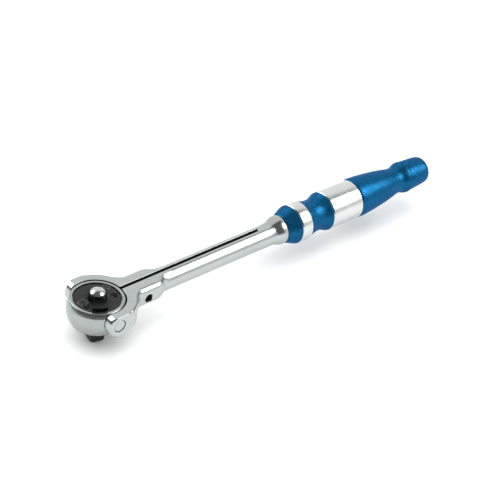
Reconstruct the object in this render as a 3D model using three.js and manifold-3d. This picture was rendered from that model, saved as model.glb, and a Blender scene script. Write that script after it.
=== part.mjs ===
// Swivel-head ratchet wrench, 3/8 in. square drive, turned aluminium handle.
// Millimetres, +Z up, +X from the head to the end of the handle.
// Origin: centre of the end face of the drive square. Head centre: (0, 0, DRIVE_END).
import * as THREE from 'three';
import { mergeVertices } from 'three/addons/utils/BufferGeometryUtils.js';
import Module from 'manifold-3d';

const wasm = await Module();
wasm.setup();

// ---- driving dimensions, heights measured from the head centre ----
const SQUARE = 9.53; // across flats of the drive square
const DRIVE_END = 25.0; // head centre to end face of the square
const DRIVE_TURN = -14; // degrees, drive about Z as assembled
const LEVER_TURN = -120; // degrees, direction of the selector lever
const PAWL_TURN = 80; // degrees, direction of the pawl
const PAWL_ROCK = 2.5; // degrees, rock of the pawl with the lever as assembled
const HEAD_R = 19.5; // spherical outside of the head
const SEAT_R = 19.95; // spherical seat in the yoke
const HEAD_TOP = 7.12;
const HEAD_BOTTOM = -11.5;
const GEAR_R = 14.9; // outside of the tooth ring
const TOOTH_TIP = 12.75;
const TOOTH_ROOT = 13.6;
const TEETH = 60;
const PLATE_R = 15.2;
const RIM_R = 15.75; // inside of the rim round the plate
const PLATE_TOP = 6.75;
const BUTTON_R = 5.1;
const BALL_Z = -19.2;
const YOKE_TOP = 7.12; // half thickness of the yoke
const EDGE = 2.4; // rounding of the yoke edges
const EAR_Y = 24.1; // outer face of the ears
const EAR_R = 9.6;
const EAR_X = 1.7; // centre of the round ears, behind the tilt axis
const PIN_R = 4.1;
const SHANK_R = 7.85;
const SHANK_DROP = -0.4;
const COLLAR_X = 154.3; // end of the steel collar
const COLLAR_R = 9.7;
const TANG_R = 6.0;
const BORE_R = 6.3;
const SLOT_END = 134.0;
const SLOT_W = 2.5;
const SCREW_X = 34.0; // tension screw in the boss
const SCREW_Z = -1.3;
const GRIP_R = 13.72; // plain band of the handle
const HANDLE_END = 289.6;
const GAP = 0.3;

const STEEL = ['#c9ced0', 0.25, 1.0];
const CHROME = ['#d6dadb', 0.12, 1.0];
const DARK_STEEL = ['#3a3a38', 0.45, 0.9];
const MATT_BLACK = ['#3b3c3b', 0.75, 0.1];
const GLOSS_BLACK = ['#0c0c0d', 0.2, 0.1];
const BLUE = ['#0072b4', 0.35, 0.9];
const ALUMINIUM = ['#c6cacb', 0.3, 1.0];

const group = new THREE.Group();
group.name = 'swivel_head_ratchet';

// ---- helpers ----
const deg = (a) => (a * Math.PI) / 180;
const polar = (r, a) => [r * Math.cos(deg(a)), r * Math.sin(deg(a))];

function solid(geometry) {
  const bare = geometry.clone();
  bare.deleteAttribute('normal');
  bare.deleteAttribute('uv');
  const merged = mergeVertices(bare, 1e-5);
  const index = [];
  for (let i = 0; i < merged.index.count; i += 3) {
    const [a, b, c] = [0, 1, 2].map((k) => merged.index.getX(i + k));
    if (a !== b && b !== c && c !== a) index.push(a, b, c);
  }
  return new wasm.Manifold(new wasm.Mesh({
    numProp: 3,
    vertProperties: Float32Array.from(merged.attributes.position.array),
    triVerts: Uint32Array.from(index),
  }));
}

function signedArea(points) {
  return points.reduce((sum, [x, y], i) => {
    const [u, v] = points[(i + 1) % points.length];
    return sum + (x * v - u * y) / 2;
  }, 0);
}

// Closed outline of [axial, radius] pairs turned about the given axis.
function turned(outline, axis, segments) {
  const ring = outline.map(([a, r]) => [r, a]);
  if (signedArea(ring) < 0) ring.reverse();
  const points = [...ring, ring[0]].map(([r, a]) => new THREE.Vector2(r, a));
  const geometry = new THREE.LatheGeometry(points, segments);
  if (axis === 'x') geometry.rotateZ(-Math.PI / 2);
  if (axis === 'z') geometry.rotateX(Math.PI / 2);
  return solid(geometry);
}

// Closed outline of [x, y] pairs raised along Z, with optional rounded edges.
function raised(outline, z0, z1, round = 0, holes = []) {
  const shape = new THREE.Shape(outline.map(([x, y]) => new THREE.Vector2(x, y)));
  holes.forEach((h) => shape.holes.push(new THREE.Path(h.map(([x, y]) => new THREE.Vector2(x, y)))));
  const geometry = new THREE.ExtrudeGeometry(shape, {
    depth: z1 - z0 - 2 * round,
    bevelEnabled: round > 0,
    bevelThickness: round,
    bevelSize: round,
    bevelSegments: 3,
  });
  return solid(geometry).translate(0, 0, z0 + round);
}

// Closed outline of [x, z] pairs raised along Y from -y to +y.
const raisedAcross = (outline, y) => raised(outline, -y, y).rotate(90, 0, 0);

const rod = (r, a, b, axis, segments) => turned([[a, 0], [a, r], [b, r], [b, 0]], axis, segments);

const arc = (r, from, to, steps) =>
  Array.from({ length: steps + 1 }, (_, i) => polar(r, from + ((to - from) * i) / steps));

// Tube along a helix about Z.
function coil(r, wire, z0, z1, turns, steps, sides) {
  const position = [];
  const index = [];
  const n = turns * steps;
  const pitch = (z1 - z0 - 2 * wire) / (2 * Math.PI * turns);
  for (let i = 0; i <= n; i += 1) {
    const a = (2 * Math.PI * i) / steps;
    for (let k = 0; k < sides; k += 1) {
      const b = (2 * Math.PI * k) / sides;
      const rr = r + wire * Math.cos(b);
      position.push(rr * Math.cos(a), rr * Math.sin(a), z0 + wire + pitch * a + wire * Math.sin(b));
    }
  }
  for (let i = 0; i < n; i += 1) {
    for (let k = 0; k < sides; k += 1) {
      const a = i * sides + k;
      const b = i * sides + ((k + 1) % sides);
      index.push(a, a + sides, b, b, a + sides, b + sides);
    }
  }
  for (let k = 1; k < sides - 1; k += 1) {
    const e = n * sides;
    index.push(0, k, k + 1, e, e + k + 1, e + k);
  }
  const geometry = new THREE.BufferGeometry();
  geometry.setAttribute('position', new THREE.Float32BufferAttribute(position, 3));
  geometry.setIndex(index);
  return solid(geometry);
}

function add(name, body, [color, roughness, metalness]) {
  const { vertProperties, triVerts } = body.translate(0, 0, DRIVE_END).getMesh();
  const geometry = new THREE.BufferGeometry();
  geometry.setAttribute('position', new THREE.BufferAttribute(vertProperties, 3));
  geometry.setIndex(new THREE.BufferAttribute(triVerts, 1));
  geometry.computeVertexNormals();
  const mesh = new THREE.Mesh(geometry, new THREE.MeshStandardMaterial({ color, roughness, metalness }));
  mesh.name = name;
  group.add(mesh);
}

// ---- head ----
const headArc = arc(HEAD_R, -34.5, 12, 7).map(([r, z]) => [z, r]);
const housing = turned([
  [HEAD_BOTTOM, 8.7], [HEAD_BOTTOM, 15.1], [HEAD_BOTTOM + 0.5, 15.75],
  ...headArc,
  [5.4, 18.5], [6.4, 18.0], [7.0, 17.65], [HEAD_TOP, 17.45], [HEAD_TOP, RIM_R], [5.0, RIM_R],
  [5.0, 15.9], [3.55, 15.9], [3.55, 15.2],
  [-6.3, 15.2], [-6.3, 8.7],
], 'z', 48)
  .subtract(rod(3.5, 17.0, 22, 'y', 20))
  .subtract(rod(3.5, -22, -17.0, 'y', 20));
add('head_housing', housing, CHROME);

const toothOutline = Array.from({ length: TEETH }, (_, i) => [
  polar(TOOTH_TIP, ((i + 0.42) * 360) / TEETH),
  polar(TOOTH_TIP, ((i + 0.58) * 360) / TEETH),
  polar(TOOTH_ROOT, ((i + 1) * 360) / TEETH),
]).flat();
add('tooth_ring', raised(arc(GEAR_R, 0, 354, 59), -6.0, 3.3, 0, [toothOutline]), STEEL);

const retainer = raised([...arc(15.6, 12, 348, 42), ...arc(11.6, 348, 12, 42)], 3.7, 4.7);
add('retaining_ring', retainer, STEEL);

// ---- drive ----
const half = SQUARE / 2 - 1.0;
const cut = 0.35;
const squareOutline = [
  [half, -half + cut], [half, half - cut], [half - cut, half], [-half + cut, half],
  [-half, half - cut], [-half, -half + cut], [-half + cut, -half], [half - cut, -half],
];
const rounding = turned([
  [-DRIVE_END, 0], [-DRIVE_END, 3.6], [-DRIVE_END + 0.4, 4.8], [-DRIVE_END + 1.3, 5.8],
  [-DRIVE_END + 2.8, 6.6], [-9, 6.9], [-9, 0],
], 'z', 40);
const square = raised(squareOutline, -DRIVE_END, -9, 1.0).intersect(rounding);
const drive = turned([
  [3.4, 0], [3.4, 11.9], [2.9, 12.4], [-5.9, 12.4], [-5.9, 8.4], [-12.0, 8.4], [-12.4, 8.0], [-12.4, 0],
], 'z', 40)
  .add(square.rotate(0, 0, DRIVE_TURN))
  .subtract(turned([
    [4, 0], [4, 5.9], [-2.0, 5.9], [-2.0, 3.3], [-5.0, 3.3], [-5.0, 1.85], [-23.0, 1.85], [-23.0, 0],
  ], 'z', 24))
  .subtract(raised([[5, -5.5], [14, -5.5], [14, 5.5], [5, 5.5]], -2.6, 4).rotate(0, 0, PAWL_TURN))
  .subtract(rod(2.05, 0, 8, 'x', 20).translate(0, 0, BALL_Z).rotate(0, 0, DRIVE_TURN))
  .subtract(rod(1.3, -4.4, -2.4, 'z', 16).translate(9.3, 0, 0).rotate(0, 0, PAWL_TURN))
  .subtract(rod(1.5, -1.0, 4, 'z', 16).translate(...polar(9.0, 200), 0))
  .subtract(rod(1.5, -1.0, 4, 'z', 16).translate(...polar(9.0, 320), 0));
add('drive_anvil', drive, DARK_STEEL);

const ball = solid(new THREE.SphereGeometry(1.75, 12, 8));
add('detent_ball', ball.translate(1.85 + 0.02 + 1.75, 0, BALL_Z).rotate(0, 0, DRIVE_TURN), STEEL);

const pawlFace = Array.from({ length: 17 }, (_, i) => {
  const a = -22 + (44 * i) / 16;
  return polar(i % 2 && Math.abs(a) > 6 ? 11.85 : 12.3, a);
});
const pawl = raised([[6.15, 3.4], [6.15, -3.4], [7.6, -4.6], ...pawlFace, [7.6, 4.6]], -2.3, 3.1)
  .subtract(rod(1.3, -4, 4, 'z', 16).translate(9.3, 0, 0));
const rocked = pawl.translate(-9.3, 0, 0).rotate(0, 0, PAWL_ROCK).translate(9.3, 0, 0);
add('pawl', rocked.rotate(0, 0, PAWL_TURN), STEEL);
add('pawl_pin', rod(1.0, -4.1, 3.1, 'z', 16).translate(9.3, 0, 0).rotate(0, 0, PAWL_TURN), STEEL);

// ---- cover plate with two raised direction arrows and one blank raised panel ----
const arrow = [[-2.6, 0.1], [0.1, 2.7], [0.1, 1.2], [2.5, 1.2], [2.5, -1.0], [0.1, -1.0], [0.1, -2.5]];
const frameOutline = (x, y) => [[-x, -y], [x, -y], [x, y], [-x, y]];
const label = (x, y) => raised(frameOutline(x, y), 6.5, 7.05, 0, [frameOutline(x - 0.45, y - 0.45).reverse()]);
const plate = turned([
  [5.3, 5.8], [5.3, PLATE_R], [6.35, PLATE_R], [PLATE_TOP, PLATE_R - 0.5], [PLATE_TOP, 5.8],
], 'z', 48)
  .add(rod(1.2, 0, 5.6, 'z', 16).translate(...polar(9.0, 200), 0))
  .add(rod(1.2, 0, 5.6, 'z', 16).translate(...polar(9.0, 320), 0))
  .add(raised(arrow, 6.5, 7.25).rotate(0, 0, -105).translate(...polar(11.5, -15), 0))
  .add(raised(arrow.map(([x, y]) => [-x, y]).reverse(), 6.5, 7.25).rotate(0, 0, -75)
    .translate(...polar(11.5, 195), 0))
  .add(label(3.0, 2.7).rotate(0, 0, 12).translate(...polar(10.6, 174), 0))
  .add(label(1.6, 2.5).rotate(0, 0, 25).translate(...polar(12.8, 27), 0));
add('cover_plate', plate, MATT_BLACK);

// ---- selector lever: hub with a flared paddle ----
const hub = turned([
  [-1.6, 3.5], [-1.6, 5.3], [7.1, 5.3], [7.1, 6.1], [7.7, 6.05], [8.6, 5.8], [11.1, 5.8],
  [11.4, 5.65], [11.4, 5.4], [8.2, 5.4], [8.2, 3.5],
], 'z', 28);
const paddle = raised([
  [4.2, -4.3], [7.2, -3.3], [9.6, -3.2], [12.4, -4.9], [13.7, -4.6], [14.2, -2.6], [14.4, 0],
  [14.2, 2.6], [13.7, 4.6], [12.4, 4.9], [9.6, 3.2], [7.2, 3.3], [4.2, 4.3],
], 7.1, 10.6)
  .subtract(raisedAcross([[6, 12], [6, 10.8], [8, 9.7], [11, 9.2], [15, 9.6], [15, 12]], 8))
  .subtract(rod(5.4, 8.2, 12, 'z', 28));
const nose = rod(0.9, -1.6, 3.0, 'z', 14).translate(4.75, 0, 0).rotate(0, 0, PAWL_TURN - LEVER_TURN - 35);
const lever = hub.add(paddle).add(nose);
add('selector_lever', lever.rotate(0, 0, LEVER_TURN), GLOSS_BLACK);

const button = turned([
  [-20.4, 0], [-20.4, 1.1], [-20.0, 1.5], [-18.2, 1.5], [-17.5, 0.9], [-16.5, 0.9], [-15.8, 1.5],
  [10.7, 1.5], [10.7, BUTTON_R - 0.3], [11.0, BUTTON_R], [11.5, 5.0], [12.0, 4.65], [12.6, 4.0],
  [13.3, 2.8], [14.0, 0],
], 'z', 24);
add('release_button', button, CHROME);
add('release_spring', coil(2.5, 0.35, -4.7, 10.4, 7, 9, 5), STEEL);

// ---- yoke and shank ----
const flatEdge = [
  [-3.3, 21.7], [7.5, 21.7], [10, 21.1], [13, 19.4], [16, 17.0], [18, 14.9], [20, 12.8], [22.5, 10.7],
  [25, 9.2], [28, 8.3], [42.5, 8.3], [44.5, 7.6], [46.5, 6.3], [48.7, 4.6], [51.5, 3.2], [56, 2.3],
];
const plan = [...flatEdge, ...flatEdge.map(([x, y]) => [x, -y]).reverse()];
const earProfile = [
  [-EAR_Y, 0], [-EAR_Y, EAR_R - 2.2], [-EAR_Y + 0.65, EAR_R - 0.8], [-EAR_Y + 2.2, EAR_R],
];
const ears = turned([...earProfile, ...earProfile.map(([y, r]) => [-y, r]).reverse()], 'y', 36)
  .translate(EAR_X, 0, 0);
const seatArc = arc(SEAT_R, -45, 45, 12).map(([r, z]) => [z, r]);
const seat = turned([[seatArc[0][0], 0], ...seatArc, [seatArc[12][0], 0]], 'z', 48);
const shank = turned([[40, 0], [40, SHANK_R], [147, SHANK_R], [147, 0]], 'x', 32)
  .translate(0, 0, SHANK_DROP);
const collar = turned([
  [138, 0], [138, 7.3], [144, 7.8], [147, 8.6], [149.5, 9.6], [151.5, 10.1], [153.2, 10.1],
  [COLLAR_X, COLLAR_R], [COLLAR_X, TANG_R], [218, TANG_R], [218, 5.0], [231.2, 5.0], [232, 4.2],
  [232, 0],
], 'x', 32);
const yoke = raised(plan, -YOKE_TOP, YOKE_TOP, EDGE)
  .add(ears)
  .subtract(seat)
  .add(shank)
  .add(collar)
  .subtract(raisedAcross([
    [-12, 2.6], [-3.4, YOKE_TOP], [142.5, YOKE_TOP], [152, 10.2], [152, 14], [-12, 14],
  ], 30))
  .subtract(raised([[16, -SLOT_W / 2], [SLOT_END, -SLOT_W / 2], [SLOT_END, SLOT_W / 2], [16, SLOT_W / 2]],
    -20, 20))
  .subtract(rod(PIN_R + GAP, 18, 26, 'y', 24))
  .subtract(rod(PIN_R + GAP, -26, -18, 'y', 24))
  .subtract(turned([
    [-12, 0], [-12, 3.3], [-10.2, 2.75], [-4.2, 2.75], [-4.2, 1.75 + GAP], [7.8, 1.75 + GAP], [7.8, 0],
  ], 'y', 20).translate(SCREW_X, 0, SCREW_Z));
add('yoke_shank', yoke, STEEL);

const pin = turned([
  [17.3, 0], [17.3, 3.2], [20.3, 3.2], [20.3, PIN_R], [23.6, PIN_R], [23.9, PIN_R - 0.3], [23.9, 0],
], 'y', 24);
add('pivot_pin_left', pin, STEEL);
add('pivot_pin_right', pin.rotate(0, 0, 180), STEEL);

const hexSocket = raised(arc(1.25, 0, 300, 5), 6.6, 9).rotate(90, 0, 0);
const screw = turned([
  [-8.2, 0], [-8.2, 2.2], [-7.9, 2.45], [-4.5, 2.45], [-4.5, 1.75], [7.2, 1.75], [7.5, 1.4], [7.5, 0],
], 'y', 20).subtract(hexSocket);
add('tension_screw', screw.translate(SCREW_X, 0, SCREW_Z), DARK_STEEL);

// ---- handle, a stack of turned sleeves on the tang ----
const sleeve = (outside, bore) =>
  turned([...outside, [outside.at(-1)[0], bore], [outside[0][0], bore]], 'x', 36);

add('front_cone', sleeve([
  [154.6, 9.8], [155.2, 10.1], [157, 10.8], [159.5, 11.8], [162, 12.85], [163.8, 13.45], [164.2, 13.4],
], BORE_R), BLUE);
add('front_ring', sleeve([
  [164.5, 13.3], [164.9, 13.66], [172.2, 13.66], [173.2, 13.5], [173.7, 13.1],
], BORE_R), ALUMINIUM);
add('waist_sleeve', sleeve([
  [174.0, 13.0], [175.5, 12.7], [178, 12.05], [181, 11.45], [184, 11.25], [187, 11.6], [189.5, 12.35],
  [191.5, 13.2], [192.8, 13.55],
], BORE_R), BLUE);
add('grip_band', sleeve([
  [193.1, 13.35], [193.5, GRIP_R], [219.7, GRIP_R], [220.1, 13.35],
], BORE_R), ALUMINIUM);

const rear = turned([
  [220.4, 13.5], [221.5, 13.8], [224.5, 14.0], [230, 13.6], [238, 12.85], [246, 11.9],
  [253, 10.75], [257, 9.95], [260, 9.45], [262.5, 9.3], [264.5, 9.6], [267, 10.5],
  [269, 11.05], [270.3, 11.15], [271.1, 10.9], [271.1, 7.0], [224.4, 7.0], [224.4, 5.3], [220.4, 5.3],
], 'x', 36);
add('rear_grip', rear, BLUE);

const nut = raised(arc(6.6, 0, 300, 5), 224.7, 229.7).subtract(rod(5.3, 220, 235, 'z', 20))
  .rotate(0, 90, 0);
add('tang_nut', nut, STEEL);

const cap = turned([
  [258, 0], [258, 6.7], [271.4, 6.7], [271.4, 10.65], [273, 10.75], [278, 10.5], [283, 10.15],
  [286.5, 9.8], [288.4, 9.3], [289.3, 8.6], [HANDLE_END, 7.8], [HANDLE_END, 0],
], 'x', 36);
add('end_cap', cap, BLUE);

export default group;
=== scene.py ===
"""Looks of a swivel-head ratchet wrench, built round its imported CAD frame.

Lengths are millimetres measured from the head centre, as in the CAD source. The mesh builders
turn them into the frame's metres, whose origin is the end face of the drive square.
"""

import math

import bmesh
import bpy
import numpy as np
from mathutils import Matrix, Vector


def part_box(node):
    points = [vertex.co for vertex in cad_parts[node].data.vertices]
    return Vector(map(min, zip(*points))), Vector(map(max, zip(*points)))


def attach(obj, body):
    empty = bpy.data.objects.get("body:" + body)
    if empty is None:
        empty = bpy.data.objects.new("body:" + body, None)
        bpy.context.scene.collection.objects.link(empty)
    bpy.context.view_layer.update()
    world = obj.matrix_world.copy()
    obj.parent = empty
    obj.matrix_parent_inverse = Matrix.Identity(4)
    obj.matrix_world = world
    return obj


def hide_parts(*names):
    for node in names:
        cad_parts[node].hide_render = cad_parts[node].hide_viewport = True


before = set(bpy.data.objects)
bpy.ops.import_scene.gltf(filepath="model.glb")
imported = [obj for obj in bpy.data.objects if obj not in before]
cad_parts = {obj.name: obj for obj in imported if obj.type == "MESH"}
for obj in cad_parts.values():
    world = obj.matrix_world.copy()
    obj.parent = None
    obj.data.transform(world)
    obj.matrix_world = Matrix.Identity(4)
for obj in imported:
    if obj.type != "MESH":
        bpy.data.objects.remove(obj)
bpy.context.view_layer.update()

MM = 0.001
PIN_R = 4.1
ORIGIN = Vector((0, 0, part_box("pivot_pin_left")[0].z / MM + PIN_R))  # the head centre

HEAD_R, SEAT_R = 19.49, 19.95  # the ball stays just inside the CAD's facets
HEAD_TOP, HEAD_BOTTOM = 7.12, -11.5
RIM_R, PLATE_R, PLATE_TOP = 15.75, 15.2, 6.75
YOKE_TOP, YOKE_EDGE = 7.12, 2.4
EAR_X, EAR_Y, EAR_R = 1.7, 24.1, 9.6
SHANK_R, SHANK_DROP = 7.85, -0.4
COLLAR_X, TANG_END = 154.3, 232.0
SLOT_START, SLOT_END, SLOT_HALF = 16.0, 134.0, 1.25
SCREW_X, SCREW_Z = 34.0, -1.3
HALF_SQUARE = 9.53 / 2
SQUARE_END = -ORIGIN.z
SQUARE_ROOT = -9.0
BALL_REACH, BALL_Z = 3.62, -19.2  # the detent ball's centre, from the axis and in height
DRIVE_TURN, LEVER_TURN, PAWL_TURN = (math.radians(a) for a in (-14, -120, 80))
TURNS = 144  # segments round a turned piece
SMOOTH_ANGLE = 35  # degrees; edges sharper than this are shaded hard
TINY = 1e-6  # lengths below this count as nothing


# ---------------------------------------------------------------- mesh builders
def new_object(name, points, faces, normals=None, smooth_angle=SMOOTH_ANGLE):
    """Mesh object from millimetre points, shaded smooth, by the given normals if any."""
    mesh = bpy.data.meshes.new(name)
    placed = (np.asarray(points, float) + np.array(ORIGIN)) * MM
    mesh.from_pydata(placed.tolist(), [], [list(map(int, f)) for f in faces])
    obj = bpy.data.objects.new(name, mesh)
    bpy.context.scene.collection.objects.link(obj)
    mesh.shade_smooth()
    if normals is None:
        mesh.set_sharp_from_angle(angle=math.radians(smooth_angle))
    else:
        mesh.normals_split_custom_set_from_vertices(normals.tolist())
    return obj


def from_bmesh(name, bm, smooth_angle=SMOOTH_ANGLE):
    """Mesh object from a bmesh in millimetres, which it frees."""
    bmesh.ops.recalc_face_normals(bm, faces=bm.faces)
    bm.verts.index_update()
    points = [tuple(v.co) for v in bm.verts]
    faces = [[v.index for v in f.verts] for f in bm.faces]
    bm.free()
    return new_object(name, points, faces, smooth_angle=smooth_angle)


def turned(name, profile, axis, smooth_angle=SMOOTH_ANGLE):
    """Solid of revolution. The profile holds (axial, radius) pairs; radius 0 closes an end."""
    along = Vector({"x": (1, 0, 0), "y": (0, 1, 0), "z": (0, 0, 1)}[axis])
    side = Vector({"x": (0, 1, 0), "y": (0, 0, 1), "z": (1, 0, 0)}[axis])
    other = along.cross(side)
    bm = bmesh.new()
    rings = []
    for a, r in profile:
        angles = [2 * math.pi * k / TURNS for k in range(TURNS if r > TINY else 1)]
        rings.append([
            bm.verts.new(along * a + side * (r * math.cos(t)) + other * (r * math.sin(t)))
            for t in angles
        ])
    if len(rings[0]) > 1:
        rings.append(rings[0])
    for low, high in zip(rings, rings[1:]):
        for k in range(TURNS):
            n = (k + 1) % TURNS
            corners = [low[k % len(low)], low[n % len(low)], high[n % len(high)], high[k % len(high)]]
            corners = list(dict.fromkeys(corners))
            if len(corners) > 2:
                bm.faces.new(corners)
    return from_bmesh(name, bm, smooth_angle)


def raised_shape(name, outline, z0, z1, bevel, turn, place, hole=None):
    """Flat outline raised from z0 to z1 with a bevelled top, turned and moved into place."""
    bm = bmesh.new()
    loops = [outline] + ([hole] if hole else [])
    edges = []
    for loop in loops:
        verts = [bm.verts.new((x, y, z1)) for x, y in loop]
        edges += [bm.edges.new(pair) for pair in zip(verts, verts[1:] + verts[:1])]
    bmesh.ops.triangle_fill(bm, edges=edges, use_beauty=True, use_dissolve=True)
    top = list(bm.faces)
    wall = bmesh.ops.extrude_face_region(bm, geom=top)["geom"]
    for v in (g for g in wall if isinstance(g, bmesh.types.BMVert)):
        v.co.z = z0
    upper = [e for e in bm.edges if all(abs(v.co.z - z1) < TINY for v in e.verts) and not e.is_boundary]
    rim = [e for e in upper if any(abs(v.co.z - z0) < TINY for f in e.link_faces for v in f.verts)]
    bmesh.ops.bevel(bm, geom=rim, offset=bevel, segments=2, profile=0.5, affect="EDGES")
    x, y = place
    bm.transform(Matrix.Translation((x, y, 0)) @ Matrix.Rotation(math.radians(turn), 4, "Z"))
    return from_bmesh(name, bm, 50)


def spline(knots, steps=6):
    """Smooth curve through the knots (Catmull-Rom), with steps points per stretch."""
    p = np.asarray(knots, float)
    p = np.vstack([2 * p[0] - p[1], p, 2 * p[-1] - p[-2]])
    t = np.linspace(0, 1, steps, endpoint=False)[:, None]
    out = []
    for a, b, c, d in zip(p, p[1:], p[2:], p[3:]):
        curve = 2 * b + (c - a) * t + (2 * a - 5 * b + 4 * c - d) * t**2
        out.append(0.5 * (curve + (3 * b - a - 3 * c + d) * t**3))
    return [tuple(q) for q in np.vstack(out + [p[-2:-1]])]


def eased(profile, radius=0.25, steps=4):
    """Profile with each corner replaced by a small round."""
    points = [Vector(p) for p in profile]
    out = [points[0]]
    for a, b, c in zip(points, points[1:], points[2:]):
        reach = min(radius, (a - b).length * 0.49, (c - b).length * 0.49)
        start, end = b + (a - b).normalized() * reach, b + (c - b).normalized() * reach
        for t in (k / steps for k in range(steps + 1)):
            out.append(start.lerp(b, t).lerp(b.lerp(end, t), t))
    return [tuple(p) for p in out + [points[-1]]]


def arc(radius, start, end, steps):
    """(axial, radius) points on a circle about the head centre, angles from the equator."""
    angles = np.radians(np.linspace(start, end, steps + 1))
    return [(radius * math.sin(a), radius * math.cos(a)) for a in angles]


def polar(radius, degrees):
    """Point (x, y) at a radius and an angle."""
    return radius * math.cos(math.radians(degrees)), radius * math.sin(math.radians(degrees))


def carve(obj, *tools):
    """Cuts the tool objects out of the object and removes them."""
    for tool in tools:
        cut = obj.modifiers.new("cut", "BOOLEAN")
        cut.operation, cut.solver, cut.object = "DIFFERENCE", "EXACT", tool
    depsgraph = bpy.context.evaluated_depsgraph_get()
    mesh = bpy.data.meshes.new_from_object(obj.evaluated_get(depsgraph))
    obj.modifiers.clear()
    obj.data = mesh
    mesh.set_sharp_from_angle(angle=math.radians(SMOOTH_ANGLE))
    for tool in tools:
        bpy.data.objects.remove(tool)
    return obj


# ---------------------------------------------------------------- solids from distance fields
def joined(a, b, k):
    """Union of two fields with a fillet of about k."""
    h = np.clip(0.5 + 0.5 * (b - a) / k, 0, 1)
    return b * (1 - h) + a * h - k * h * (1 - h)


def common(a, b, k):
    """Overlap of two fields, with the new edge rounded by about k."""
    return -joined(-a, -b, k)


def prism(outline, across, half, r):
    """Outline field raised to +-half along the third axis, edges rounded by r."""
    q, w = outline + r, np.abs(across) - half + r
    return np.minimum(np.maximum(q, w), 0) + np.hypot(np.maximum(q, 0), np.maximum(w, 0)) - r


def rectangle(x, y, half_x, half_y, r=0.0):
    """Distance to a rectangle about the origin, corners rounded by r."""
    q, w = np.abs(x) - half_x + r, np.abs(y) - half_y + r
    return np.minimum(np.maximum(q, w), 0) + np.hypot(np.maximum(q, 0), np.maximum(w, 0)) - r


def mirrored_outline(x, y, points):
    """Distance to an outline that is the same on both sides of y = 0; points have y >= 0."""
    px, py = np.broadcast_arrays(x, np.abs(y))
    best = np.full(px.shape, 1e9)
    inside = np.zeros(px.shape, bool)
    for (ax, ay), (bx, by) in zip(points, points[1:]):
        ex, ey = bx - ax, by - ay
        wx, wy = px - ax, py - ay
        t = np.clip((wx * ex + wy * ey) / (ex * ex + ey * ey), 0, 1)
        best = np.minimum(best, (wx - ex * t) ** 2 + (wy - ey * t) ** 2)
        if ay != by:
            inside ^= ((ay > py) != (by > py)) & (px < ex * (py - ay) / ey + ax)
    return np.sqrt(best) * np.where(inside, -1, 1)


def rotated(x, y, angle):
    """The same point in axes turned by the angle."""
    c, s = math.cos(angle), math.sin(angle)
    return c * x + s * y, c * y - s * x


def slope_of(field, points, step=0.02):
    """Gradient of the field at each point, by central differences."""
    ways = np.eye(3) * step
    return np.stack([field(*(points + w).T) - field(*(points - w).T) for w in ways], 1) / (2 * step)


def contour(name, field, low, high, cell):
    """Closed mesh of field(x, y, z) = 0: one point per crossed cell, moved onto the surface."""
    cell = np.broadcast_to(cell, 3)
    axes = [np.arange(a, b + c, c) for a, b, c in zip(low, high, cell)]
    inside = field(*np.meshgrid(*axes, indexing="ij", sparse=True)) < 0
    corners = np.zeros([n - 1 for n in inside.shape], np.int8)
    for i, j, k in np.ndindex(2, 2, 2):
        corners += inside[i: i - 1 or None, j: j - 1 or None, k: k - 1 or None]
    crossed = (corners > 0) & (corners < 8)
    number = np.full(crossed.shape, -1)
    number[crossed] = np.arange(crossed.sum())
    points = np.array(low) + (np.argwhere(crossed) + 0.5) * cell
    for _ in range(5):
        slope = slope_of(field, points)
        size = np.maximum((slope**2).sum(1), 0.1)
        step = slope * (field(*points.T) / size)[:, None]
        points -= np.clip(step, -cell, cell)
    faces = []
    for axis in range(3):
        order = (axis, *[n for n in range(3) if n != axis])
        here, cells = inside.transpose(order), number.transpose(order)
        i, j, k = (np.argwhere(here[:-1, 1:-1, 1:-1] != here[1:, 1:-1, 1:-1]) + (0, 1, 1)).T
        quad = np.stack([cells[i, j - 1, k - 1], cells[i, j, k - 1], cells[i, j, k], cells[i, j - 1, k]], 1)
        flip = here[i, j, k] == (axis == 1)
        quad[flip] = quad[flip, ::-1]
        faces.append(quad)
    normals = slope_of(field, points)
    normals /= np.linalg.norm(normals, axis=1)[:, None]
    return new_object(name, points, np.vstack(faces), normals=normals)


# ---------------------------------------------------------------- materials
class Nodes:
    """Short way to add and link shader nodes."""

    def __init__(self, tree):
        self.tree = tree
        tree.nodes.clear()

    def add(self, kind, inputs=None, **settings):
        """New node of the kind; an input may be a value or another node's socket."""
        node = self.tree.nodes.new(kind)
        for key, value in settings.items():
            setattr(node, key, value)
        for key, value in (inputs or {}).items():
            if isinstance(value, bpy.types.NodeSocket):
                self.tree.links.new(value, node.inputs[key])
            else:
                node.inputs[key].default_value = value
        return node

    def noise(self, where, stretch, scale, detail):
        """Noise over the object's own millimetres, stretched by the three factors."""
        size = tuple(1000 * s for s in stretch)
        mapped = self.add("ShaderNodeMapping", {"Vector": where, "Scale": size})
        inputs = {"Vector": mapped.outputs[0], "Scale": scale, "Detail": detail}
        return self.add("ShaderNodeTexNoise", inputs).outputs["Fac"]

    def fit(self, value, low, high, to_low, to_high):
        """Value carried from one range to another and held inside it."""
        node = self.add("ShaderNodeMapRange", {
            "Value": value, "From Min": low, "From Max": high, "To Min": to_low, "To Max": to_high,
        })
        return node.outputs[0]

    def math(self, operation, a, b):
        """Arithmetic on two values or sockets."""
        return self.add("ShaderNodeMath", {0: a, 1: b}, operation=operation).outputs[0]

    def blend(self, factor, a, b):
        """Colour between a and b."""
        node = self.add("ShaderNodeMix", {0: factor, 6: a, 7: b}, data_type="RGBA")
        return node.outputs[2]


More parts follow.
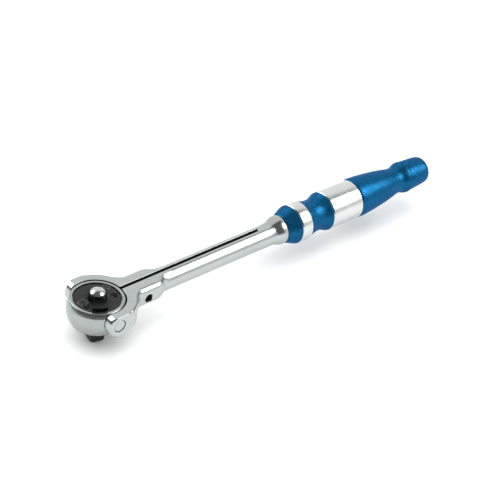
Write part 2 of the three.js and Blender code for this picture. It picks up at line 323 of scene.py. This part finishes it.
def finish(name, colour, metallic, roughness, spread=0.05, grain=(1, 1, 1), grain_size=3.0,
           depth=0.004, mottle=0.06, edge_wear_and_highlight=None, edge_lightening=0.5, coat=0.0, coat_roughness=0.1, scratch=0.0,
           specular=0.5, sparkle=0.03, edge_tint=(1, 1, 1)):
    """Metal or coating with surface grain, uneven gloss, soft mottling and lighter edges: wear on the black
    parts, a painted highlight on the raised panels.
    """
    mat = bpy.data.materials.new(name)
    mat.use_nodes = True
    n = Nodes(mat.node_tree)
    where = n.add("ShaderNodeTexCoord").outputs["Object"]
    patches = n.noise(where, (1, 1, 1), 0.09, 5)
    fine = n.noise(where, grain, grain_size, 4)
    smudge = n.noise(where, (1, 1, 1), 0.35, 6)
    dark = tuple(c * (1 - mottle) for c in colour) + (1,)
    light = tuple(min(1, c * (1 + mottle)) for c in colour) + (1,)
    tone = n.blend(n.fit(patches, 0.35, 0.65, 0, 1), dark, light)
    grit = n.fit(fine, 0.38, 0.62, 1 - sparkle, 1 + sparkle)
    tone = n.add("ShaderNodeVectorMath", {0: tone, "Scale": grit}, operation="SCALE").outputs[0]
    rough = n.fit(smudge, 0.3, 0.7, roughness - spread, roughness + spread)
    # Lighter convex edges: wear on the black parts, a painted highlight on the raised panels.
    if edge_wear_and_highlight:
        edge = n.add("ShaderNodeNewGeometry").outputs["Pointiness"]
        wear_and_highlight_mask = n.math("MULTIPLY", n.fit(edge, 0.53, 0.62, 0, edge_lightening), n.fit(smudge, 0.35, 0.6, 0.2, 1))
        tone = n.blend(wear_and_highlight_mask, tone, tuple(edge_wear_and_highlight) + (1,))
    if scratch:
        marks = n.noise(where, (0.12, 2.2, 2.6), 2.0, 2)
        other = n.noise(where, (2.0, 0.15, 1.7), 2.4, 2)
        lines = n.math("ADD", n.fit(marks, 0.66, 0.72, 0, scratch), n.fit(other, 0.68, 0.74, 0, scratch))
        rough = n.math("ADD", rough, lines)
    bump = n.add("ShaderNodeBump", {"Height": fine, "Strength": 0.6, "Distance": depth * MM})
    shader = n.add("ShaderNodeBsdfPrincipled", {
        "Base Color": tone, "Roughness": rough, "Metallic": metallic, "Normal": bump.outputs[0],
        "Coat Weight": coat, "Coat Roughness": coat_roughness, "Specular IOR Level": specular,
        "Specular Tint": tuple(edge_tint) + (1,),
    })
    n.add("ShaderNodeOutputMaterial", {"Surface": shader.outputs[0]})
    return mat


AROUND_X = (1, 0.02, 0.02)  # grain drawn out round the handle's axis by the lathe
FINISH = {
    "polished_chrome": finish("polished_chrome", (0.325, 0.35, 0.345), 1, 0.26, 0.03, depth=0.0003,
                              grain_size=4.0, mottle=0.02, scratch=0.02),
    "satin_chrome": finish("satin_chrome", (0.41, 0.435, 0.43), 1, 0.23, 0.04, depth=0.0008,
                           grain_size=5.0, mottle=0.03, scratch=0.04),
    "bright_chrome": finish("bright_chrome", (0.48, 0.50, 0.49), 1, 0.22, 0.03, depth=0.0005,
                            grain_size=4.0, mottle=0.03, scratch=0.05),
    "tool_steel": finish("tool_steel", (0.45, 0.45, 0.44), 1, 0.32, 0.08, depth=0.004, mottle=0.1),
    "black_oxide_steel": finish("black_oxide_steel", (0.022, 0.022, 0.021), 0.6, 0.42, 0.08,
                                depth=0.006, mottle=0.2, edge_wear_and_highlight=(0.16, 0.16, 0.15), edge_lightening=0.5),
    "matt_black": finish("matt_black", (0.012, 0.013, 0.0125), 0.0, 0.55, 0.08, depth=0.012,
                         grain_size=2.5, mottle=0.08, edge_wear_and_highlight=(0.06, 0.06, 0.06), edge_lightening=0.5, specular=0.25),
    # Lighter copy of matt_black for the raised panels, lighter still at the edges: painted highlight where
    # the panel frames catch light.
    "black_painted_highlight": finish("black_painted_highlight", (0.075, 0.078, 0.076), 0.2, 0.42, 0.08, depth=0.006,
                           mottle=0.25, edge_wear_and_highlight=(0.16, 0.16, 0.16), edge_lightening=0.6),
    "gloss_black": finish("gloss_black", (0.002, 0.002, 0.002), 0.0, 0.2, 0.05, depth=0.002,
                          mottle=0.1, specular=0.12, scratch=0.04),
    "blue_anodised": finish("blue_anodised", (0.004, 0.082, 0.19), 0.75, 0.34, 0.04, depth=0.16,
                            grain_size=1.3, mottle=0.05, coat=0.05, coat_roughness=0.3, specular=0.1,
                            sparkle=0.4, edge_tint=(0.25, 0.5, 0.8)),
    "bare_aluminium": finish("bare_aluminium", (0.57, 0.59, 0.58), 1, 0.22, 0.05, grain=AROUND_X,
                             grain_size=5.0, depth=0.003, mottle=0.03, scratch=0.05),
}


def piece(obj, slot, body, *nodes, look=None):
    """Gives a piece its finish and the body it rides on, and hides the CAD nodes it stands for."""
    obj.data.materials.clear()
    obj.data.materials.append(FINISH[look or slot])
    if nodes:
        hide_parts(*nodes)
    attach(obj, body)
    return obj


# ---------------------------------------------------------------- head
LIP_TOP = HEAD_BOTTOM + 1.2
housing = turned("head_shell", [(-6.3, 8.7), (LIP_TOP, 8.7), (LIP_TOP, 16.4)]
                 + arc(HEAD_R, -31.6, 12, 26)
                 + spline([(4.1, 19.05), (5.4, 18.5), (6.4, 17.98), (6.95, 17.63)], 5)[1:]
                 + eased([(6.98, 17.6), (HEAD_TOP, 17.4), (HEAD_TOP, RIM_R), (5.0, RIM_R), (5.0, 15.9),
                          (3.55, 15.9), (3.55, 15.2), (-6.3, 15.2)], 0.12), "z")
sockets = [
    turned(f"socket_{k}", [(a, 0), (a, 3.5), (b, 3.5), (b, 0)], "y")
    for k, (a, b) in enumerate([(17.0, 22.0), (-22.0, -17.0)])
]
piece(carve(housing, *sockets), "polished_chrome", "head", "head_housing")
# Dark ring at the foot of the ball in the black oxide finish: painted shade, the dark line where the
# underside reflects the shadow beneath it.
shade_ring = turned("head_bottom_painted_shade", eased([
    (LIP_TOP, 8.75), (HEAD_BOTTOM + 0.1, 8.75), (HEAD_BOTTOM, 9.0), (HEAD_BOTTOM, 15.1),
    (HEAD_BOTTOM + 0.5, 15.9), (LIP_TOP, 16.35), (LIP_TOP, 8.75),
], 0.12)[:-1], "z")
piece(shade_ring, "black_oxide_steel", "head", "head_housing")

# ---------------------------------------------------------------- drive with its square end
DRIVE_BORES = ((5.9, -2.0), (3.3, -5.0), (1.85, -23.0))  # radius and floor: stem, spring, rod


def drive_field(x, y, z):
    """Drive disc, journal and square, with the bores and the pocket for the pawl."""
    u, v = rotated(x, y, DRIVE_TURN)
    radius = np.hypot(x, y)
    disc = prism(radius - 12.4, z + 1.25, 4.65, 0.4)
    journal = prism(radius - 8.4, z + 9.1, 3.3, 0.35)
    middle, half = (SQUARE_END + SQUARE_ROOT) / 2, (SQUARE_ROOT - SQUARE_END) / 2
    square = prism(rectangle(u, v, HALF_SQUARE, HALF_SQUARE, 0.55), z - middle, half, 1.1)
    rounded_end = prism(radius - 6.75, z - SQUARE_END - 10, 10, 3.0)
    square = common(square, np.where(z < SQUARE_END + 6, rounded_end, -1.0), 0.4)
    body = joined(joined(disc, journal, 0.3), square, 0.5)
    for bore_radius, floor in DRIVE_BORES:
        body = common(body, -np.maximum(radius - bore_radius, floor - z), 0.25)
    ball = np.hypot(v, z - BALL_Z) - 2.05
    body = common(body, -np.maximum(ball, -u), 0.3)
    u, v = rotated(x, y, PAWL_TURN)
    pocket = np.maximum(rectangle(u - 9.5, v, 4.5, 5.5), -2.6 - z)
    return common(body, -pocket, 0.25)


piece(contour("drive_body", drive_field, (-13, -13, SQUARE_END - 0.4), (13, 13, 3.9), 0.26),
      "black_oxide_steel", "drive", "drive_anvil")

ball_at = (BALL_REACH * math.cos(DRIVE_TURN), BALL_REACH * math.sin(DRIVE_TURN), BALL_Z)
ball = turned("detent_steel_ball", arc(1.75, -90, 90, 24), "z")
ball.data.transform(Matrix.Translation(Vector(ball_at) * MM))
piece(ball, "tool_steel", "ball", "detent_ball")

# ---------------------------------------------------------------- cover plate and its raised marks
plate = turned("plate_disc", eased([
    (5.3, 5.8), (5.3, PLATE_R), (6.3, PLATE_R), (PLATE_TOP, PLATE_R - 0.5), (PLATE_TOP, 6.1),
    (6.45, 5.8), (5.3, 5.8),
], 0.15)[:-1], "z")
piece(plate, "matt_black", "drive", "cover_plate")
ARROW = [(-2.6, 0.1), (0.1, 2.7), (0.1, 1.2), (2.5, 1.2), (2.5, -1.0), (0.1, -1.0), (0.1, -2.5)]
for side, turn, at in ((1, -105, -15), (-1, -75, 195)):
    outline = [(side * x, y) for x, y in ARROW]
    mark = raised_shape(f"arrow_mark_{at % 360}", outline, 6.6, 7.25, 0.18, turn, polar(11.5, at))
    piece(mark, "gloss_black", "drive", "cover_plate")
# The raised panels take the lighter black, a painted highlight on their frames.
for name, (x, y), turn, place in (
    ("blank_panel_wide", (3.0, 2.7), 12, polar(10.6, 174)),
    ("blank_panel_narrow", (1.6, 2.5), 25, polar(12.8, 27)),
):
    outer = [(-x, -y), (x, -y), (x, y), (-x, y)]
    inner = [(math.copysign(abs(a) - 0.45, a), math.copysign(abs(b) - 0.45, b)) for a, b in outer]
    panel = raised_shape(name, outer, 6.6, 7.05, 0.12, turn, place, hole=inner)
    piece(panel, "matt_black", "drive", "cover_plate", look="black_painted_highlight")

# ---------------------------------------------------------------- selector lever and release button
PADDLE = [(4.2, 0), (4.2, 4.3)] + spline([
    (4.2, 4.3), (7.2, 3.3), (9.6, 3.2), (12.4, 4.9), (13.7, 4.6), (14.2, 2.6), (14.4, 0),
], 5)[1:]


def lever_field(x, y, z):
    """Hub ring with a flared, dished paddle above the plate and a stem below it."""
    u, v = rotated(x, y, LEVER_TURN)
    radius = np.hypot(x, y)
    hub = prism(radius - 6.0, z - 9.25, 2.15, 0.4)
    paddle = prism(mirrored_outline(u, v, PADDLE), z - 8.95, 1.85, 0.6)
    paddle = common(paddle, z - 9.25 - 0.045 * (u - 11.5) ** 2, 0.5)
    stem = prism(radius - 5.3, z - 3.0, 4.6, 0.2)
    nose_angle = PAWL_TURN - math.radians(35)
    nose_x, nose_y = 4.75 * math.cos(nose_angle), 4.75 * math.sin(nose_angle)
    nose = prism(np.hypot(x - nose_x, y - nose_y) - 0.9, z - 0.7, 2.3, 0.2)
    body = joined(joined(hub, paddle, 0.9), joined(stem, nose, 0.2), 0.2)
    body = common(body, 3.5 - radius, 0.2)
    return common(body, -np.maximum(radius - 5.4, 8.2 - z), 0.2)


piece(contour("lever_body", lever_field, (-13, -14, -2), (7, 7, 11.8), 0.2),
      "gloss_black", "selector", "selector_lever")

button_rod = eased([
    (-20.4, 0), (-20.4, 1.1), (-20.0, 1.5), (-18.2, 1.5), (-17.5, 0.9), (-16.5, 0.9), (-15.8, 1.5),
    (10.7, 1.5), (10.7, 4.8), (11.0, 5.1),
], 0.2)
button_crown = spline([
    (11.0, 5.1), (11.5, 5.0), (12.0, 4.65), (12.6, 4.0), (13.2, 3.0), (13.65, 1.9), (13.94, 0),
])[1:]
button = turned("button_dome", button_rod + button_crown, "z", 50)
piece(button, "polished_chrome", "button", "release_button", look="bright_chrome")

# ---------------------------------------------------------------- yoke and shank
FLAT_EDGE = [(-3.3, 0), (-3.3, 21.7)] + spline([
    (7.5, 21.7), (10, 21.1), (13, 19.4), (16, 17.0), (18, 14.9), (20, 12.8), (22.5, 10.7),
    (25, 9.2), (28, 8.3),
], 3) + spline([
    (42.5, 8.3), (44.5, 7.6), (46.5, 6.3), (48.7, 4.6), (51.5, 3.2), (56, 2.3),
], 3) + [(56, 0)]
COLLAR = np.array(spline([
    (134, 6.6), (138, 6.9), (142, 7.5), (145.5, 8.2), (148, 9.05), (150, 9.75), (151.6, 10.05),
    (153, 10.06), (154.6, 9.65),
], 8))
THREAD_R, THREAD_END = 2.05, 7.8  # the tension screw's hole across the slot
SCREW_HEAD_R, STEP_Y, MOUTH_Y = 2.75, -4.2, -10.1  # its wider start, bevelled beyond MOUTH_Y


def yoke_field(x, y, z):
    """Forged yoke, split shank and collar, cut by the head seat, slot and pin holes."""
    edge = np.interp(x, [19, 28], [YOKE_EDGE, 4.4])
    body = prism(mirrored_outline(x, y, FLAT_EDGE) - YOKE_EDGE, z, YOKE_TOP, edge)
    ears = prism(np.hypot(x - EAR_X, z) - EAR_R, y, EAR_Y, 2.2)
    body = joined(body, ears, 0.8)
    shank = common(np.hypot(y, z - SHANK_DROP) - SHANK_R, np.abs(x - 94) - 54, 0.5)
    body = joined(body, shank, 1.6)
    trumpet = np.hypot(y, z) - np.interp(x, COLLAR[:, 0], COLLAR[:, 1])
    trumpet = common(trumpet, np.maximum(x - COLLAR_X, 136 - x), 0.3)
    body = joined(body, trumpet, 0.8)
    collar_flat = 0.951 * (z - YOKE_TOP) - 0.309 * (x - 142.5)
    body = common(body, np.minimum(z - YOKE_TOP, collar_flat), 0.25)
    ear_slope = 0.885 * (z - YOKE_TOP) - 0.465 * (x + 3.4)
    body = common(body, ear_slope, 0.3)
    body = common(body, SEAT_R - np.sqrt(x * x + y * y + z * z), 0.25)
    along = np.maximum(np.abs(x - (SLOT_START + SLOT_END) / 2) - (SLOT_END - SLOT_START) / 2 + 1, 0)
    body = common(body, SLOT_HALF - np.hypot(along, y), 0.15)
    body = common(body, PIN_R + 0.28 - np.hypot(x, z), 0.25)
    across = np.hypot(x - SCREW_X, z - SCREW_Z)
    body = common(body, -np.maximum(across - THREAD_R, y - THREAD_END), 0.3)
    mouth = np.maximum(MOUTH_Y - y, 0)
    body = common(body, -np.maximum(across - SCREW_HEAD_R - mouth, y - STEP_Y), 0.3)
    return np.maximum(body, np.abs(y) - EAR_Y)


yoke = contour("yoke_body", yoke_field, (-13, -25, -10.5), (155.2, 25, 10.5), (0.5, 0.3, 0.3))
piece(yoke, "satin_chrome", "handle", "yoke_shank")
# Faces inside the slot, in the screw's bore and on the head seat are drawn darker, in the black oxide
# finish.
yoke.data.materials.append(FINISH["black_oxide_steel"])
for face in yoke.data.polygons:
    x, y, z = face.center / MM - ORIGIN
    in_slot = SLOT_START < x < SLOT_END + 0.1 and abs(y) < SLOT_HALF + 0.1
    in_bore = math.hypot(x - SCREW_X, z - SCREW_Z) < SCREW_HEAD_R + 0.15 and MOUTH_Y - 0.1 < y < THREAD_END
    in_seat = math.hypot(x, y, z) < SEAT_R + 0.03
    face.material_index = int(in_slot or in_bore or in_seat)
tang = turned("yoke_tang", eased([
    (COLLAR_X - 0.4, 0), (COLLAR_X - 0.4, 6.0), (218, 6.0), (218, 5.0), (231.2, 5.0), (TANG_END, 4.2),
    (TANG_END, 0),
]), "x")
piece(tang, "tool_steel", "handle", "yoke_shank")

for side, name in ((1, "left"), (-1, "right")):
    profile = eased([(17.3, 0), (17.3, 3.2), (20.3, 3.2), (20.3, PIN_R), (23.55, PIN_R),
                     (23.8, PIN_R - 0.25), (23.9, PIN_R - 0.8), (23.9, 0)], 0.15)
    pin = turned(f"pin_{name}", [(side * a, r) for a, r in profile], "y")
    piece(pin, "satin_chrome", "handle", f"pivot_pin_{name}")


def hexagonal_plug():
    """Solid in the shape of the tension screw's hexagon socket."""
    bm = bmesh.new()
    corners = [polar(1.25, 60 * k) for k in range(6)]
    rings = [[bm.verts.new((x, y, z)) for x, z in corners] for y in (-9.0, -6.6)]
    bm.faces.new(rings[0])
    bm.faces.new(rings[1][::-1])
    for k in range(6):
        bm.faces.new([rings[0][k], rings[0][k - 1], rings[1][k - 1], rings[1][k]])
    return from_bmesh("hex_socket", bm)


screw = turned("screw_body", eased([
    (-8.2, 0), (-8.2, 2.15), (-7.95, 2.45), (-4.5, 2.45), (-4.5, 1.75), (7.2, 1.75), (7.5, 1.4), (7.5, 0),
], 0.1), "y")
screw = carve(screw, hexagonal_plug())
screw.data.transform(Matrix.Translation(Vector((SCREW_X, 0, SCREW_Z)) * MM))
piece(screw, "black_oxide_steel", "tensioner", "tension_screw")

# ---------------------------------------------------------------- handle
BORE_R = 6.3


def sleeve(name, outside, slot, node):
    """Turned sleeve of the handle on the tang."""
    start, end = outside[0][0], outside[-1][0]
    obj = turned(name, [(start, BORE_R)] + outside + [(end, BORE_R)], "x")
    return piece(obj, slot, "handle", node)


sleeve("front_cone_skin", eased([(154.6, 9.55), (154.75, 9.85)], 0.1) + spline([
    (155.2, 10.1), (157, 10.8), (159.5, 11.8), (162, 12.85), (163.6, 13.42), (163.95, 13.45), (164.2, 13.3),
]), "blue_anodised", "front_cone")
sleeve("front_ring_skin", eased([
    (164.5, 13.25), (164.95, 13.66), (172.2, 13.66), (173.2, 13.5), (173.7, 13.0),
], 0.3), "bare_aluminium", "front_ring")
sleeve("waist_skin", spline([
    (174.0, 12.9), (174.2, 13.0), (175.5, 12.7), (178, 12.05), (181, 11.45), (184, 11.25), (187, 11.6),
    (189.5, 12.35), (191.5, 13.2), (192.4, 13.52), (192.8, 13.4),
]), "blue_anodised", "waist_sleeve")
sleeve("grip_band_skin", eased([
    (193.1, 13.3), (193.55, 13.72), (219.65, 13.72), (220.1, 13.3),
], 0.3), "bare_aluminium", "grip_band")
rear = [(220.4, 5.3)] + spline([
    (220.4, 13.4), (220.7, 13.6), (221.8, 13.85), (224.5, 13.98), (230, 13.6), (238, 12.85), (246, 11.9),
    (253, 10.75), (257, 9.95), (260, 9.45), (262.5, 9.3), (264.5, 9.6), (267, 10.5), (269, 11.05),
    (270.3, 11.15), (270.9, 11.05), (271.1, 10.8),
]) + [(271.1, 7.0), (224.4, 7.0), (224.4, 5.3)]
piece(turned("rear_grip_skin", rear, "x"), "blue_anodised", "handle", "rear_grip")
cap = [(258, 0), (258, 6.7), (271.4, 6.7)] + spline([
    (271.4, 10.45), (271.6, 10.62), (273, 10.75), (278, 10.5), (283, 10.15), (286.5, 9.8), (288.4, 9.3),
    (289.3, 8.6), (289.6, 7.8),
]) + [(289.6, 0)]
piece(turned("end_cap_skin", cap, "x"), "blue_anodised", "handle", "end_cap")

# ---------------------------------------------------------------- inner parts kept from the CAD
for node in ("tooth_ring", "retaining_ring", "pawl", "pawl_pin", "release_spring", "tang_nut"):
    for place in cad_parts[node].material_slots:
        place.material = FINISH["tool_steel"]


# ---------------------------------------------------------------- studio
def paint_floor():
    """White matt disc just under the tool."""
    bm = bmesh.new()
    bmesh.ops.create_circle(bm, cap_ends=True, segments=96, radius=4.0)
    mesh = bpy.data.meshes.new("floor")
    bm.to_mesh(mesh)
    bm.free()
    floor = bpy.data.objects.new("floor", mesh)
    floor.location = (0.12, 0, -0.0002)
    bpy.context.scene.collection.objects.link(floor)
    mat = bpy.data.materials.new("floor_white")
    mat.use_nodes = True
    n = Nodes(mat.node_tree)
    where = n.add("ShaderNodeTexCoord").outputs["Object"]
    tone = n.blend(n.noise(where, (1, 1, 1), 0.02, 2), (0.93, 0.93, 0.93, 1), (0.96, 0.96, 0.96, 1))
    shader = n.add("ShaderNodeBsdfDiffuse", {"Color": tone})
    n.add("ShaderNodeOutputMaterial", {"Surface": shader.outputs[0]})
    mesh.materials.append(mat)


SURROUND = 0.15  # brightness of everything else in the reflections
EVEN_SKY = 1.0  # brightness of the sky that lights what isn't a reflection


def light_studio():
    """Soft boxes and a pale cove in the reflections; an even sky and a lamp for the rest."""
    world = bpy.data.worlds.new("studio")
    bpy.context.scene.world = world
    world.use_nodes = True
    n = Nodes(world.node_tree)
    way = n.add("ShaderNodeTexCoord").outputs["Generated"]

    def lobe(axis, outer, inner, strength):
        """Light round an axis: full within the inner angle, none beyond the outer one."""
        aim = Vector(axis).normalized()
        near = n.add("ShaderNodeVectorMath", {0: way, 1: aim}, operation="DOT_PRODUCT")
        edges = [math.cos(math.radians(angle)) for angle in (outer, inner)]
        return n.fit(near.outputs["Value"], *edges, 0, strength)

    cove_middle = lobe((0.62, 0.61, 0.49), 46, 24, 1.05)
    cove_foot = lobe((0.7, 0.7, 0.05), 50, 25, 0.8)
    cove_top = lobe((0.12, 0.62, 0.78), 32, 16, 0.85)
    haze = lobe((0.72, -0.68, 0.12), 42, 16, 0.75)
    right_box = lobe((0.58, -0.50, 0.64), 24, 6, 8.5)
    left_box = lobe((-0.36, 0.74, 0.57), 27, 12, 5.0)
    cove = n.math("MAXIMUM", n.math("MAXIMUM", cove_middle, cove_foot), cove_top)
    studio = n.math("ADD", n.math("MAXIMUM", cove, haze), n.math("ADD", right_box, left_box))
    studio = n.math("ADD", studio, SURROUND)
    mirrored = n.add("ShaderNodeLightPath").outputs["Is Glossy Ray"]
    excess = n.math("SUBTRACT", studio, EVEN_SKY)
    strength = n.math("ADD", n.math("MULTIPLY", excess, mirrored), EVEN_SKY)
    sky = n.add("ShaderNodeBackground", {"Color": (0.985, 1.0, 0.995, 1), "Strength": strength})
    n.add("ShaderNodeOutputWorld", {"Surface": sky.outputs[0]})

    lamp = bpy.data.lights.new("overhead", "AREA")
    lamp.shape, lamp.size, lamp.energy = "DISK", 4.0, 50.0
    overhead = bpy.data.objects.new("overhead", lamp)
    overhead.location = (0.12, 0.1, 2.0)
    overhead.visible_glossy = False
    bpy.context.scene.collection.objects.link(overhead)


def place_camera():
    """Long lens from the near left front, slightly rolled."""
    distance = 1.31902
    azimuth, elevation, roll = (math.radians(a) for a in (-45.29, 35.45, 7.16))
    target = Vector((0.12174, -0.00743, 0.025))
    flat = math.cos(elevation)
    back = Vector((math.sin(azimuth) * flat, -math.cos(azimuth) * flat, math.sin(elevation)))
    right = (-back).cross(Vector((0, 0, 1))).normalized()
    up = right.cross(-back)
    across = right * math.cos(roll) + up * math.sin(roll)
    upward = up * math.cos(roll) - right * math.sin(roll)
    data = bpy.data.cameras.new("camera")
    data.sensor_width, data.lens = 36.0, 144.0
    camera = bpy.data.objects.new("camera", data)
    turn = Matrix((across, upward, back)).transposed().to_4x4()
    camera.matrix_world = Matrix.Translation(target + back * distance) @ turn
    bpy.context.scene.collection.objects.link(camera)
    bpy.context.scene.camera = camera


paint_floor()
light_studio()
place_camera()
bpy.context.scene.view_settings.view_transform = "Standard"
